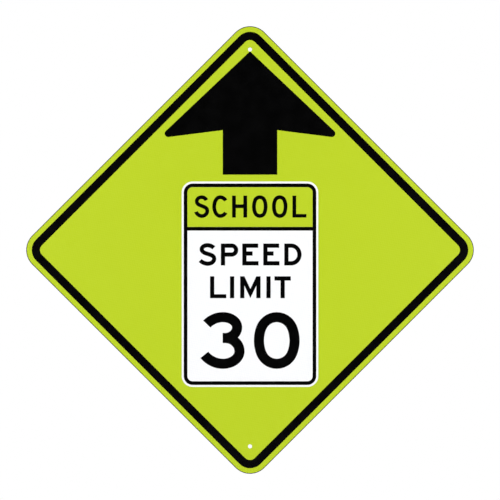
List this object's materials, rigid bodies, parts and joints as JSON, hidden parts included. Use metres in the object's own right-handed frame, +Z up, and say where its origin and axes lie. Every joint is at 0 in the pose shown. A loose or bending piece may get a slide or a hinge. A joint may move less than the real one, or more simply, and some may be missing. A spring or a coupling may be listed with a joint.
{
  "type": "road sign",
  "caption": "Flat diamond-shaped aluminium road sign with reflective sheeting, black border, up arrow and inset speed limit panel.",
  "frame": {"origin": "middle of the bare back face, where the diamond's two diagonals cross", "axes": "+Z up along the upright diagonal, +X to the right as seen by a driver reading the face, +Y out of the back towards the post; the face looks along -Y"},
  "size_m": [1.0382, 0.0031, 1.0382],
  "materials": {
    "aluminium_sheet": "mill finish with a thin conversion coat",
    "yellow_green_sheeting": "fluorescent yellow-green retroreflective sheeting, satin",
    "white_sheeting": "white retroreflective sheeting, satin",
    "black_film": "opaque black cut film, satin gloss"
  },
  "bodies": {
    "root": {"sign_blank": "aluminium_sheet", "background_sheeting": "yellow_green_sheeting", "school_band": "yellow_green_sheeting", "panel_sheeting": "white_sheeting", "border_band": "black_film", "arrow": "black_film", "panel_frame": "black_film", "school_letter_s": "black_film", "school_letter_c": "black_film", "school_letter_h": "black_film", "school_letter_o_1": "black_film", "school_letter_o_2": "black_film", "school_letter_l": "black_film", "speed_letter_s": "black_film", "speed_letter_p": "black_film", "speed_letter_e_1": "black_film", "speed_letter_e_2": "black_film", "speed_letter_d": "black_film", "limit_letter_l": "black_film", "limit_letter_i_1": "black_film", "limit_letter_m": "black_film", "limit_letter_i_2": "black_film", "limit_letter_t": "black_film", "number_digit_3": "black_film", "number_digit_0": "black_film"}
  },
  "joints": []
}
